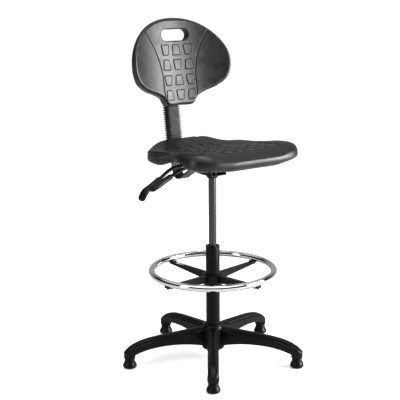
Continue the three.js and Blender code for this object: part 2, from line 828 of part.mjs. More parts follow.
// ---------------------------------------------------------------- back upright
function addUpright() {
  const lean = radians(BACK.reclineDeg);
  const onLine = (height) => [
    BACK.footY + height * Math.sin(lean),
    BACK.footZ + height * Math.cos(lean),
  ];
  const bend = new THREE.SplineCurve([
    [ARM.start, MECH.pivotZ - 1],
    [102, 686],
    [146, 662],
    [180, 641],
    [206, 642],
    [221, 668],
    onLine(0),
    onLine(30),
  ].map(([y, z]) => new THREE.Vector2(y, z)));
  const line = [...bend.getPoints(12), new THREE.Vector2(...onLine(BACK.barTop))];
  const bar = slab(band(line, BACK.bar), BACK.barHalf);
  const cheek = [
    [MECH.pivotY, MECH.pivotZ - ARM.earRadius + 1],
    [ARM.start + 6, MECH.pivotZ - 7],
    [ARM.start + 6, MECH.pivotZ + 4],
    [MECH.pivotY, MECH.pivotZ + ARM.earRadius - 1],
  ];
  const eye = alongX(disc(ARM.earRadius, -ARM.earOuter, ARM.earOuter, 16))
    .translate(0, MECH.pivotY, MECH.pivotZ);
  const ears = cut(join([slab(cheek, ARM.earOuter), eye]), [
    box(-ARM.earInner, ARM.earInner, 0, ARM.start + 1, MECH.pivotZ - 20, MECH.pivotZ + 20),
    pinHole(MECH.pinRadius + GAP, ARM.earOuter + 1),
  ]);
  const stopHole = alongY(disc(BACK.stopRadius + GAP, -9, 9, 10))
    .translate(0, 0, BACK.stopHeight)
    .applyMatrix4(uprightMatrix());
  add("back_upright", cut(join([bar, ears]), [stopHole]), blackSteel());
  const stop = alongY(disc(BACK.stopRadius, -BACK.stopHalfLength, BACK.stopHalfLength, 10));
  add("upright_stop", stop.translate(0, 0, BACK.stopHeight), steel(), upright);
}

function uprightMatrix() {
  upright.updateMatrix();
  return upright.matrix;
}

// A rubber sleeve, folded on the outside, whose round section is squared into a rectangle.
function addBellows() {
  const { halfWidth, halfDepth, fold, folds, bottom, top, skin } = BELLOWS;
  const inner = fold + skin;
  const profile = Array.from({ length: 2 * folds + 1 }, (_, i) =>
    [i % 2 === 0 ? fold : 0, lerp(bottom, top, i / (2 * folds))]);
  profile.push([inner, top], [inner, bottom]);
  // each profile radius is 1 + its depth below the outside, so that the depth can be read back
  const g = turned(profile.map(([depth, z]) => [1 + depth, z]), 12, true);
  const p = g.getAttribute("position");
  for (let i = 0; i < p.count; i += 1) {
    const radius = Math.hypot(p.getX(i), p.getY(i));
    const depth = radius - 1;
    const x = (halfWidth - depth) * squared(p.getX(i) / radius);
    p.setXYZ(i, x, (halfDepth - depth) * squared(p.getY(i) / radius), p.getZ(i));
  }
  add("bellows", g, rubber(), upright);
}

// ---------------------------------------------------------------- back cushion and carrier
const backOutline = () => mirrored([
  [0, 0],
  [51, 0],
  [60, 7],
  [73, 26],
  [104, 42],
  [150, 58],
  [188, 84],
  [204, 117],
  [BACK.wingHalf, 150],
  [201, 184],
  [184, 218],
  [154, 254],
  [112, 285],
  [60, 305],
  [0, BACK.padHeight],
].map(([x, z]) => [x, z + BACK.padBottom]));

const backFront = (x, z) => {
  const tilt = BACK.padTilt * (z - BACK.padBottom);
  return BACK.padFront + tilt - BACK.wingForward * (x / BACK.wingHalf) ** 2;
};
const backThick = (z) =>
  lerp(BACK.padThickBottom, BACK.padThickTop, smooth(z, BACK.padBottom, BACK.padBottom + 200));

function addBackPad() {
  const middle = BACK.padBottom + BACK.padHeight / 2;
  const pad = cushion(backOutline(), middle, BACK.padEdge, 44, (x, z, share) =>
    [x, backFront(x, z) + backThick(z) * (1 - share), z]);
  const slotZ = BACK.padBottom + BACK.slotHeight;
  const slot = alongY(plate(
    -BACK.slotHalfLength, BACK.slotHalfLength, -BACK.slotHalfWidth, BACK.slotHalfWidth,
    BACK.slotHalfWidth - 1, -60, 60,
  )).translate(0, BACK.padFront, slotZ);
  const insertFront = BACK.carrierFront - GAP - BACK.insert;
  const pocket = box(
    -BACK.insertHalf - GAP, BACK.insertHalf + GAP, insertFront - GAP, 40,
    BACK.insertBottom - GAP, BACK.insertTop + GAP,
  );
  add("back_pad", cut(pad, [slot, pocket]), foam(), upright);
}

function boltSpots() {
  const low = BACK.carrierBottom + BACK.boltInset;
  const high = BACK.carrierTop - BACK.boltInset;
  return [[-BACK.boltX, low], [BACK.boltX, low], [-BACK.boltX, high], [BACK.boltX, high]];
}

function addCarrier() {
  const { carrierHalf, carrierFront, carrierRear, carrierBottom, carrierTop } = BACK;
  const boltHole = ([x, z]) =>
    alongY(disc(BACK.boltRadius + GAP, carrierFront - 12, carrierRear + 1, 12)).translate(x, 0, z);
  const middle = (carrierBottom + carrierTop) / 2;
  const screwHole = alongY(disc(BACK.screwRadius + GAP, 0, carrierRear + 1, 12))
    .translate(0, 0, middle);
  const barSpace = box(
    -BACK.barHalf - GAP, BACK.barHalf + GAP, -BACK.bar / 2 - GAP, BACK.bar / 2 + GAP,
    carrierBottom - 1, carrierTop + 1,
  );
  const block = box(-carrierHalf, carrierHalf, carrierFront, carrierRear, carrierBottom, carrierTop);
  add("back_carrier", cut(block, [barSpace, screwHole, ...boltSpots().map(boltHole)]), nylon(), upright);
  const insertFront = carrierFront - GAP - BACK.insert;
  const insert = box(
    -BACK.insertHalf, BACK.insertHalf, insertFront, insertFront + BACK.insert,
    BACK.insertBottom, BACK.insertTop,
  );
  add("back_insert", cut(insert, boltSpots().map(boltHole)), plywood(), upright);
  boltSpots().forEach(([x, z], i) => {
    const bolt = turned([
      [0, insertFront + 1],
      [BACK.boltRadius, insertFront + 1],
      [BACK.boltRadius, carrierRear + GAP],
      [BACK.boltHead, carrierRear + GAP],
      [BACK.boltHead, carrierRear + 4],
      [0, carrierRear + 4],
    ], 12);
    add(`back_bolt_${i + 1}`, alongY(bolt).translate(x, 0, z), steel(), upright);
  });
}

function addBackKnob() {
  const middle = (BACK.carrierBottom + BACK.carrierTop) / 2;
  const start = BACK.carrierRear + GAP;
  const screwEnd = start + 16;
  const screw = disc(BACK.screwRadius, BACK.bar / 2 + GAP, screwEnd, 12);
  add("back_knob_screw", alongY(screw).translate(0, 0, middle), steel(), upright);
  const blank = turned([
    [BACK.screwRadius + GAP, start],
    [BACK.knobRadius * 0.5, start],
    [BACK.knobRadius * 0.55, start + 7],
    [BACK.knobRadius, start + 9],
    [BACK.knobRadius, start + BACK.knobDepth - 4],
    [BACK.knobRadius * 0.8, start + BACK.knobDepth],
    [0, start + BACK.knobDepth],
    [0, screwEnd + GAP],
    [BACK.screwRadius + GAP, screwEnd + GAP],
  ], 18, true);
  const scallops = Array.from({ length: BACK.knobLobes }, (_, i) => {
    const turn = (2 * Math.PI * i) / BACK.knobLobes;
    return disc(6, start + 8, start + BACK.knobDepth + 1, 6)
      .translate(BACK.knobRadius + 2.5, 0, 0)
      .rotateZ(turn);
  });
  add("back_knob", alongY(cut(blank, scallops)).translate(0, 0, middle), nylon(), upright);
}

// ---------------------------------------------------------------- seat
const seatOutline = () => mirrored([
  [0, SEAT.front],
  [110, SEAT.front + 3],
  [184, SEAT.front + 22],
  [220, SEAT.front + 58],
  [SEAT.frontHalf, SEAT.front + 110],
  [220, SEAT.front + 170],
  [SEAT.waistHalf, SEAT.front + 225],
  [SEAT.waistHalf - 2, SEAT.rear - 155],
  [SEAT.rearHalf, SEAT.rear - 112],
  [182, SEAT.rear - 55],
  [138, SEAT.rear - 16],
  [75, SEAT.rear],
  [0, SEAT.rear],
]);

// The rim's underside rises at the waist, beside the sitter's thighs.
function seatUnder(x, y) {
  const waist = smooth(Math.abs(x), 110, 190) * (1 - smooth(Math.abs(y + 105), 10, 100));
  return SEAT.underside + SEAT.undersideSlope * y + SEAT.waistRise * waist;
}

function seatTop(x, y) {
  const towardFront = smooth(-y, -80, 200);
  const rearMiddle = smooth(y, 60, SEAT.rear) * (1 - smooth(Math.abs(x), 75, 185));
  const rearSides = smooth(y, 20, 120) * smooth(Math.abs(x), 90, 190);
  const sides = smooth(Math.abs(x), 90, 190) * (1 - smooth(y, 50, 150));
  const rollOff = 26 * smooth(-y, 190, -SEAT.front);
  const raised = SEAT.frontRise * towardFront + SEAT.hump * rearMiddle + SEAT.sideRise * sides;
  return SEAT.middle + raised - 6 * rearSides - rollOff;
}

function addSeat() {
  const { plateHalf, plateFront, plateRear, boardMargin } = SEAT;
  const plateBottom = MECH.top + GAP;
  const boardBottom = plateBottom + SEAT.plate + GAP;
  const boardTop = boardBottom + SEAT.board;
  const spots = [-SEAT.boltX, SEAT.boltX].flatMap((x) =>
    [SEAT.boltFront, SEAT.boltRear].map((y) => [x, y]));
  const boltHole = ([x, y]) =>
    disc(SEAT.boltRadius + GAP, plateBottom - 1, boardTop + 1, 12).translate(x, y, 0);
  const plateTop = plateBottom + SEAT.plate;
  const sheet = plate(-plateHalf, plateHalf, plateFront, plateRear, 12, plateBottom, plateTop);
  add("seat_plate", cut(sheet, spots.map(boltHole)), blackSteel());
  const boardShape = (extra, bottom, top) => plate(
    -plateHalf - boardMargin - extra, plateHalf + boardMargin + extra,
    plateFront - boardMargin - extra, plateRear + boardMargin + extra, 20, bottom, top,
  );
  add("seat_board", cut(boardShape(0, boardBottom, boardTop), spots.map(boltHole)), plywood());
  spots.forEach(([x, y], i) => {
    const bolt = turned([
      [0, plateBottom - 5],
      [SEAT.boltHead, plateBottom - 5],
      [SEAT.boltHead, plateBottom - GAP],
      [SEAT.boltRadius, plateBottom - GAP],
      [SEAT.boltRadius, boardTop - 1],
      [0, boardTop - 1],
    ], 12);
    add(`seat_bolt_${i + 1}`, bolt.translate(x, y, 0), steel());
  });
  const centre = (SEAT.front + SEAT.rear) / 2;
  const pad = cushion(seatOutline(), centre, SEAT.edge, 44, (x, y, share) =>
    [x, y, lerp(seatUnder(x, y), seatTop(x, y), share)]);
  const recess = plate(
    SEAT.recessInset - SEAT.waistHalf - 8, SEAT.waistHalf + 8 - SEAT.recessInset,
    SEAT.front + SEAT.recessInset, SEAT.rear - SEAT.recessInset, 60,
    SEAT.underside - 20, boardBottom,
  );
  add("seat_pad", cut(pad, [recess, boardShape(GAP, boardBottom - 5, boardTop + GAP)]), foam());
}

addBase();
addColumn();
addLift();
addFootRing();
addHousing();
addSocket();
addPivot();
addLevers();
addUpright();
addBellows();
addBackPad();
addCarrier();
addBackKnob();
addSeat();

const extent = new THREE.Box3().setFromObject(chair, true);
chair.position.set(-(extent.min.x + extent.max.x) / 2, -(extent.min.y + extent.max.y) / 2, -extent.min.z);

export default chair;
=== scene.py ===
"""Drafting chair, dressed for a render.

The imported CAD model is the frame. The cushions, bellows, base, glides, foot ring, column and
lever grips are rebuilt here as smooth, detailed pieces; the rest of the CAD is shown as it is.
Lengths are in metres unless a name says otherwise.
"""

import json
import math

import bmesh
import bpy
import numpy as np
from mathutils import Matrix, Vector


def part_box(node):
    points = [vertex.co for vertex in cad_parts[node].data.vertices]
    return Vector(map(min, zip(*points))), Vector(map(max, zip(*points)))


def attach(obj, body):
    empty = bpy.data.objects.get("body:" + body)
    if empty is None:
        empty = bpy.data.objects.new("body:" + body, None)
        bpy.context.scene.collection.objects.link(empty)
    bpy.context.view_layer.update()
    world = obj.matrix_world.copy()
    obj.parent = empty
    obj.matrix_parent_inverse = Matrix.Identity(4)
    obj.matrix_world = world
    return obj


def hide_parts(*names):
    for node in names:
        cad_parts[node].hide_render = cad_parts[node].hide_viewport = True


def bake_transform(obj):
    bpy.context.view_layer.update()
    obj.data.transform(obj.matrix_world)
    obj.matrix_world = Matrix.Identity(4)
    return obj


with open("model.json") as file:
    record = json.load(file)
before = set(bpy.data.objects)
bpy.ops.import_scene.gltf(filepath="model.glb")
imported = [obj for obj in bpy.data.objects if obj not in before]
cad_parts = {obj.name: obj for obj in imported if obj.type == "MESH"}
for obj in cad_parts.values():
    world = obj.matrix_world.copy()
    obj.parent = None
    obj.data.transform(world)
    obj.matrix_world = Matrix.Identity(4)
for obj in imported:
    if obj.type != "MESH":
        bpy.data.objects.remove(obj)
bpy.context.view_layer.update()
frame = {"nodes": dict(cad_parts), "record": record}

MM = 0.001
COARSE = 1  # drafts use a coarser mesh
JOINTS = {joint["name"]: joint for joint in frame["record"]["behaviour"]["joints"]}


# ------------------------------------------------------------------ frames of reference
def middle(node):
    low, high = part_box(node)
    return (low + high) / 2


COLUMN = Vector((middle("column_tube").x, middle("column_tube").y, 0))


def back_frame():
    """The upright's own axes: x across, y behind it and z up along it, from its foot."""
    up = Vector(JOINTS["back_height"]["axis"]).normalized()
    behind = Vector((1, 0, 0)).cross(up) * -1
    knob_height = 266 * MM
    foot = Vector(JOINTS["back_knob_turn"]["pos_m"]) - up * knob_height
    across = Vector((1, 0, 0))
    return np.array(foot), np.array([across, behind, up])


BACK_FOOT, BACK_AXES = back_frame()


def from_back(points):
    """Points in the upright's frame, in millimetres, as points in the row frame."""
    return BACK_FOOT + (points * MM) @ BACK_AXES


def from_column(points):
    """Points round the column's axis, in millimetres, as points in the row frame."""
    return np.array(COLUMN) + points * MM


# ------------------------------------------------------------------ small maths
def smooth(value, low, high):
    """0 below low, 1 above high and a smooth step between."""
    share = np.clip((value - low) / (high - low), 0, 1)
    return share * share * (3 - 2 * share)


def lerp(a, b, share):
    return a + (b - a) * share


def closed_outline(half, count):
    """count points, evenly spaced, on the smooth closed curve through a half outline and its mirror."""
    other = [(-x, y) for x, y in reversed(half[1:-1])]
    points = np.array(list(half) + other, float)
    fine = []
    steps = 60
    for i in range(len(points)):
        p0, p1, p2, p3 = (points[(i + k) % len(points)] for k in (-1, 0, 1, 2))
        knots = [0.0]
        for a, b in ((p0, p1), (p1, p2), (p2, p3)):
            knots.append(knots[-1] + math.sqrt(np.linalg.norm(b - a)))
        t0, t1, t2, t3 = knots
        t = np.linspace(t1, t2, steps, endpoint=False)[:, None]
        a1 = (t1 - t) / (t1 - t0) * p0 + (t - t0) / (t1 - t0) * p1
        a2 = (t2 - t) / (t2 - t1) * p1 + (t - t1) / (t2 - t1) * p2
        a3 = (t3 - t) / (t3 - t2) * p2 + (t - t2) / (t3 - t2) * p3
        b1 = (t2 - t) / (t2 - t0) * a1 + (t - t0) / (t2 - t0) * a2
        b2 = (t3 - t) / (t3 - t1) * a2 + (t - t1) / (t3 - t1) * a3
        fine.append((t2 - t) / (t2 - t1) * b1 + (t - t1) / (t2 - t1) * b2)
    curve = np.vstack(fine)
    closed = np.vstack([curve, curve[:1]])
    run = np.r_[0, np.cumsum(np.linalg.norm(np.diff(closed, axis=0), axis=1))]
    wanted = np.linspace(0, run[-1], count, endpoint=False)
    return np.c_[np.interp(wanted, run, closed[:, 0]), np.interp(wanted, run, closed[:, 1])]


# ------------------------------------------------------------------ mesh helpers
def new_object(name, vertices, faces, material):
    mesh = bpy.data.meshes.new(name)
    mesh.from_pydata([tuple(v) for v in vertices], [], faces)
    mesh.validate()
    work = bmesh.new()
    work.from_mesh(mesh)
    bmesh.ops.remove_doubles(work, verts=work.verts, dist=1e-7)
    bmesh.ops.recalc_face_normals(work, faces=work.faces)
    work.to_mesh(mesh)
    work.free()
    mesh.polygons.foreach_set("use_smooth", [True] * len(mesh.polygons))
    piece = bpy.data.objects.new(name, mesh)
    bpy.context.scene.collection.objects.link(piece)
    mesh.materials.append(material)
    return piece


def skin(rings, loop=False):
    """Vertices and faces of a surface through rings of points, shape (rings, points, 3).
    With loop the last ring meets the first; otherwise both ends are closed with flat faces."""
    ring_count, around, _ = rings.shape
    index = np.arange(ring_count * around).reshape(ring_count, around)
    last = index if loop else index[:-1]
    following = np.roll(index, -1, axis=0)[: len(last)]
    faces = np.stack(
        [last, np.roll(last, -1, 1), np.roll(following, -1, 1), following], axis=-1
    ).reshape(-1, 4).tolist()
    if not loop:
        faces.append(index[0][::-1].tolist())
        faces.append(index[-1].tolist())
    return rings.reshape(-1, 3), faces


def several(parts):
    """One list of vertices and faces from several."""
    vertices, faces, start = [], [], 0
    for points, polygons in parts:
        vertices.append(np.asarray(points, float))
        faces.extend([[i + start for i in polygon] for polygon in polygons])
        start += len(points)
    return np.vstack(vertices), faces


def turned(profile, segments=64, loop=False):
    """A surface of revolution about z from (radius, height) pairs, in millimetres."""
    profile = np.array(profile, float)
    angle = np.linspace(0, 2 * math.pi, segments, endpoint=False)
    radius, height = profile[:, :1], profile[:, 1:]
    rings = np.stack(
        [radius * np.cos(angle), radius * np.sin(angle), np.repeat(height, segments, 1)], axis=-1
    )
    return skin(rings, loop)


def rounded(corners, radius, steps=5, closed=False):
    """A profile with each inner corner of a polyline replaced by an arc-like curve."""
    corners = np.array(corners, float)
    points = []
    count = len(corners)
    for i, corner in enumerate(corners):
        if not closed and i in (0, count - 1):
            points.append(corner)
            continue
        before, after = corners[i - 1], corners[(i + 1) % count]
        to_before, to_after = before - corner, after - corner
        reach_before = min(radius, np.linalg.norm(to_before) / 2.2)
        reach_after = min(radius, np.linalg.norm(to_after) / 2.2)
        start = corner + to_before / np.linalg.norm(to_before) * reach_before
        end = corner + to_after / np.linalg.norm(to_after) * reach_after
        for t in np.linspace(0, 1, steps):
            points.append((1 - t) ** 2 * start + 2 * t * (1 - t) * corner + t * t * end)
    return np.array(points)


def spun(points, heading):
    """Points turned about z by heading, in radians."""
    c, s = math.cos(heading), math.sin(heading)
    return points @ np.array([[c, s, 0], [-s, c, 0], [0, 0, 1]])


def moved(shape, offset=(0, 0, 0), heading=0.0):
    points, faces = shape
    return spun(points + np.array(offset, float), heading), faces


def block(low, high):
    """The box between two corners."""
    (x0, y0, z0), (x1, y1, z1) = low, high
    points = [(x, y, z) for z in (z0, z1) for x, y in ((x0, y0), (x1, y0), (x1, y1), (x0, y1))]
    faces = [[3, 2, 1, 0], [4, 5, 6, 7], [0, 1, 5, 4], [1, 2, 6, 5], [2, 3, 7, 6], [3, 0, 4, 7]]
    return np.array(points, float), faces


# ------------------------------------------------------------------ materials
def node_material(name, colour, roughness, metallic=0.0, gloss=0.5):
    """A principled material with its node tree, for the looks below."""
    material = bpy.data.materials.new(name)
    material.use_nodes = True
    tree = material.node_tree
    shader = tree.nodes["Principled BSDF"]
    shader.inputs["Base Color"].default_value = (*colour, 1)
    shader.inputs["Roughness"].default_value = roughness
    shader.inputs["Metallic"].default_value = metallic
    shader.inputs["Specular IOR Level"].default_value = gloss
    return material, tree, shader


def noise(tree, scale, detail=4.0, roughness=0.5):
    """Noise in the object's own coordinates."""
    coordinates = tree.nodes.new("ShaderNodeTexCoord")
    texture = tree.nodes.new("ShaderNodeTexNoise")
    texture.inputs["Scale"].default_value = scale
    texture.inputs["Detail"].default_value = detail
    texture.inputs["Roughness"].default_value = roughness
    tree.links.new(coordinates.outputs["Object"], texture.inputs["Vector"])
    return texture


def ramp(tree, source, low, high, from_value, to_value):
    """Maps a texture's range low..high to from_value..to_value."""
    mapping = tree.nodes.new("ShaderNodeMapRange")
    mapping.inputs["From Min"].default_value = low
    mapping.inputs["From Max"].default_value = high
    mapping.inputs["To Min"].default_value = from_value
    mapping.inputs["To Max"].default_value = to_value
    tree.links.new(source, mapping.inputs["Value"])
    return mapping.outputs["Result"]


def two_colours(tree, shader, source, dark, light):
    """The base colour runs from dark to light as source goes from 0 to 1."""
    mix = tree.nodes.new("ShaderNodeMix")
    mix.data_type = "RGBA"
    mix.inputs["A"].default_value = (*dark, 1)
    mix.inputs["B"].default_value = (*light, 1)
    tree.links.new(source, mix.inputs["Factor"])
    tree.links.new(mix.outputs["Result"], shader.inputs["Base Color"])
    return mix


def bump(tree, shader, source, strength, distance):
    node = tree.nodes.new("ShaderNodeBump")
    node.inputs["Strength"].default_value = strength
    node.inputs["Distance"].default_value = distance
    tree.links.new(source, node.inputs["Height"])
    tree.links.new(node.outputs["Normal"], shader.inputs["Normal"])


def edge_wear(tree, mix, amount):
    """Lightens the convex edges a little, where hands and shoes rub."""
    geometry = tree.nodes.new("ShaderNodeNewGeometry")
    share = ramp(tree, geometry.outputs["Pointiness"], 0.56, 0.7, 0, amount)
    lighter = tree.nodes.new("ShaderNodeMix")
    lighter.data_type = "RGBA"
    lighter.blend_type = "ADD"
    lighter.inputs["B"].default_value = (0.03, 0.03, 0.03, 1)
    tree.links.new(share, lighter.inputs["Factor"])
    tree.links.new(mix.outputs["Result"], lighter.inputs["A"])
    return lighter


def plastic(name, dark, light, roughness, grain, depth, wear=0.3, gloss=0.5):
    """Moulded plastic or foam skin: fine grain, slightly uneven colour and sheen, rubbed edges.
    grain is the noise scale of the fine bumps and depth is their strength."""
    material, tree, shader = node_material(name, dark, roughness, gloss=gloss)
    blotches = noise(tree, 9, 3)
    mix = two_colours(tree, shader, ramp(tree, blotches.outputs["Fac"], 0.3, 0.7, 0, 1), dark, light)
    worn = edge_wear(tree, mix, wear)
    tree.links.new(worn.outputs["Result"], shader.inputs["Base Color"])
    uneven = noise(tree, 40, 5)
    sheen = ramp(tree, uneven.outputs["Fac"], 0.3, 0.7, roughness - 0.05, roughness + 0.07)
    tree.links.new(sheen, shader.inputs["Roughness"])
    fine = noise(tree, grain, 2)
    bump(tree, shader, fine.outputs["Fac"], depth, 0.0004)
    return material


def metal(name, dark, light, roughness, metallic, grain=1600, depth=0.02, gloss=0.5):
    """Painted, plated or bare metal: a faint drawn grain and slightly uneven sheen."""
    material, tree, shader = node_material(name, dark, roughness, metallic, gloss)
    cloudy = noise(tree, 14, 4)
    mix = two_colours(tree, shader, ramp(tree, cloudy.outputs["Fac"], 0.35, 0.65, 0, 1), dark, light)
    worn = edge_wear(tree, mix, 0.25)
    tree.links.new(worn.outputs["Result"], shader.inputs["Base Color"])
    spread = ramp(tree, noise(tree, 60, 4).outputs["Fac"], 0.3, 0.7, roughness * 0.9, roughness * 1.1)
    tree.links.new(spread, shader.inputs["Roughness"])
    bump(tree, shader, noise(tree, grain, 2).outputs["Fac"], depth, 0.0002)
    return material


FOAM = plastic(
    "foam_skin", (0.005, 0.005, 0.006), (0.008, 0.008, 0.009),
    roughness=0.36, grain=1500, depth=0.2, wear=0.15, gloss=0.42)
NYLON = plastic(
    "black_nylon", (0.002, 0.002, 0.0025), (0.004, 0.004, 0.0045),
    roughness=0.3, grain=1100, depth=0.12, wear=0.25, gloss=0.15)
RUBBER = plastic(
    "bellows_rubber", (0.006, 0.006, 0.0065), (0.012, 0.012, 0.013),
    roughness=0.42, grain=900, depth=0.08, wear=0.4, gloss=0.3)
WOOD = plastic(
    "plywood_edge", (0.36, 0.25, 0.14), (0.5, 0.37, 0.22), roughness=0.7, grain=300, depth=0.3)
PAINT = metal(
    "black_paint", (0.002, 0.002, 0.002), (0.004, 0.004, 0.004),
    roughness=0.28, metallic=0.0, gloss=0.12)
LACQUER = metal(
    "cylinder_lacquer", (0.006, 0.006, 0.006), (0.01, 0.01, 0.01),
    roughness=0.2, metallic=0.0, gloss=0.8)
CHROME = metal(
    "chrome_plate", (0.86, 0.87, 0.88), (0.93, 0.93, 0.94), roughness=0.05, metallic=1.0, grain=400)
STEEL = metal(
    "blackened_steel", (0.045, 0.045, 0.045), (0.08, 0.08, 0.08), roughness=0.32, metallic=1.0)
SLOT_LOOKS = {
    "polyurethane": FOAM,
    "black_nylon": NYLON,
    "rubber": RUBBER,
    "black_steel": PAINT,
    "chrome_tube": CHROME,
    "bright_steel": STEEL,
    "plywood": WOOD,
}


SHARP_CAD_EDGE = 32  # degrees between faces, from which an edge stays sharp


def dress_cad():
    """Gives every CAD node its slot's procedural look and shades its soft edges smooth."""
    slots = {part["node"]: part["material_slot"] for part in frame["record"]["subparts"]}
    for name, node in frame["nodes"].items():
        node.data.materials.clear()
        node.data.materials.append(SLOT_LOOKS[slots[name]])
        node.data.polygons.foreach_set("use_smooth", [True] * len(node.data.polygons))
        node.data.set_sharp_from_angle(angle=math.radians(SHARP_CAD_EDGE))


# ------------------------------------------------------------------ moulded tiles
TILE_RAISED = 1.7
TILE_GROOVE = 1.2  # the depth of the fine groove round each tile
TILE_CORNER = 3.0


def tiles_height(x, y, tiles):
    """How far raised trapezoid tiles stand out at each point, in millimetres.
    Each tile is (centre x, centre y, height, top half width, bottom half width)."""
    height = np.zeros_like(x)
    for centre_x, centre_y, tall, top_half, bottom_half in tiles:
        dx, dy = np.abs(x - centre_x), y - centre_y
        near = (dx < 30) & (np.abs(dy) < tall / 2 + 8)
        slope = (top_half - bottom_half) / tall
        half = (top_half + bottom_half) / 2 + slope * dy[near]
        beside = (dx[near] - half) / math.hypot(1, slope)
        beyond = np.abs(dy[near]) - tall / 2
        outside = np.maximum(beside, beyond)
        both = np.maximum(beside + TILE_CORNER, 0) ** 2 + np.maximum(beyond + TILE_CORNER, 0) ** 2
        at_corner = (beside > -TILE_CORNER) & (beyond > -TILE_CORNER)
        outside = np.where(at_corner, np.sqrt(both) - TILE_CORNER, outside)
        height[near] += TILE_RAISED * smooth(-outside, -0.4, 1.3)
        height[near] -= TILE_GROOVE * np.exp(-(((outside - 0.8) / 0.8) ** 2))
    return height


def alternating(column, row):
    """(top half width, bottom half width) of a tile: neighbours taper opposite ways."""
    return (16.5, 11) if (column + row) % 2 == 0 else (11.5, 16)


# ------------------------------------------------------------------ back cushion
BACK_OUTLINE = [
    (0, 0), (51, 0), (60, 7), (73, 26), (104, 42), (150, 58), (188, 84), (204, 117), (207, 150),
    (201, 184), (184, 218), (154, 254), (112, 285), (60, 305), (0, 312),
]
BACK_BOTTOM = 200  # along the upright, in millimetres like every size below
SLOT = {"height": 251, "half_length": 57, "half_width": 21, "round": 5}
BACK_RIM = 12
BACK_HALF_WIDTH = 207
BACK_FRONT = -71  # the front's middle, ahead of the upright
WING_REACH = 52  # how much further forward a wing's edge comes
BACK_FOOT_THICK, BACK_TOP_THICK = 46, 30
BOSS_BACK = -26.3  # the rear of the boss, where the carrier is bolted on
CREASE_DEPTH, CREASE_HALF = 3.4, 2.1
BACK_TILE_ROWS = ((198, 36), (145, 36), (90, 34), (37, 34))  # height of the middle, height of a tile
BACK_TILE_COLUMNS = (-47, 0, 47)


def back_crease(z):
    """Distance from the middle of the line between the panel and a wing, at a height."""
    return 70 + 64 * np.clip((z - 90) / 175, 0, 1.3) ** 2


def back_plain(x, z):
    """The front before its creases and tiles: wings that reach forward round the sitter."""
    return BACK_FRONT + 0.04 * z - WING_REACH * (np.abs(x) / BACK_HALF_WIDTH) ** 2


def back_front(x, z):
    """The front face: a panel with raised tiles, and a thin dark crease on each side of it."""
    beyond = np.abs(x) - back_crease(z)
    line = CREASE_DEPTH * np.maximum(0, 1 - np.abs(beyond) / CREASE_HALF)
    tiles = []
    for row, (height, tall) in enumerate(BACK_TILE_ROWS):
        for column, across in enumerate(BACK_TILE_COLUMNS):
            tiles.append((across, height, tall, *alternating(column, row)))
    return back_plain(x, z) + line - tiles_height(x, z, tiles)


def back_rear(x, z):
    """The rear face, with a boss for the slide."""
    plain = back_plain(x, z) + lerp(BACK_FOOT_THICK, BACK_TOP_THICK, smooth(z, 0, 200))
    boss = smooth(-np.abs(x), -78, -52) * smooth(z, -4, 12) * smooth(-z, -150, -122)
    return np.maximum(plain, lerp(plain, BOSS_BACK, boss))


def stadium_radius(direction):
    """Distance from the slot's middle to its edge in each direction."""
    reach, half = SLOT["half_length"] - SLOT["half_width"], SLOT["half_width"]
    along, up = np.abs(direction[:, 0]), np.abs(direction[:, 1])
    flat = half / np.maximum(up, 1e-9)
    inner = reach * along
    round_end = inner + np.sqrt(np.maximum(inner**2 - reach**2 + half**2, 0))
    return np.where(flat * along <= reach, flat, round_end)


def make_back_cushion():
    """One closed skin: out of the slot, over the front, round the rim, over the rear and back in."""
    around = 1000 // COARSE
    across_rings = 200 // COARSE
    outline = closed_outline(BACK_OUTLINE, around)
    centre = np.array([0, SLOT["height"]])
    outward = outline - centre
    length = np.linalg.norm(outward, axis=1)
    direction = outward / length[:, None]
    inner = stadium_radius(direction)
    rings = []

    def ring(distance, share, dip=0.0):
        """One ring at a distance from the slot's middle: share 0 is the front and 1 the rear."""
        spot = centre + direction * distance[:, None]
        front, rear = back_front(*spot.T), back_rear(*spot.T)
        depth = lerp(front, rear, share) + dip
        rings.append(np.c_[spot[:, 0], depth, spot[:, 1] + BACK_BOTTOM])

    turns = np.linspace(0, math.pi / 2, 8)
    lip, rim = SLOT["round"], BACK_RIM
    for turn in turns:  # from the slot's wall round to the front
        ring(inner + lip * (1 - math.cos(turn)), 0, lip * (1 - math.sin(turn)))
    for share in np.linspace(0, 1, across_rings)[1:-1]:
        ring(lerp(inner + lip, length - rim, share), 0)
    for turn in turns:  # over the outer rim to the side
        ring(length - rim * (1 - math.sin(turn)), 0, rim * (1 - math.cos(turn)))
    for turn in turns[::-1]:  # and round to the rear
        ring(length - rim * (1 - math.sin(turn)), 1, -rim * (1 - math.cos(turn)))
    for share in np.linspace(1, 0, across_rings // 3)[1:-1]:
        ring(lerp(inner + lip, length - rim, share), 1)
    for turn in turns[::-1]:  # back into the slot
        ring(inner + lip * (1 - math.cos(turn)), 1, -lip * (1 - math.sin(turn)))
    vertices, faces = skin(np.array(rings), loop=True)
    piece = new_object("back_cushion", from_back(vertices), faces, FOAM)
    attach(piece, "back_rest")
    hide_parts("back_pad", "back_insert")
    return piece


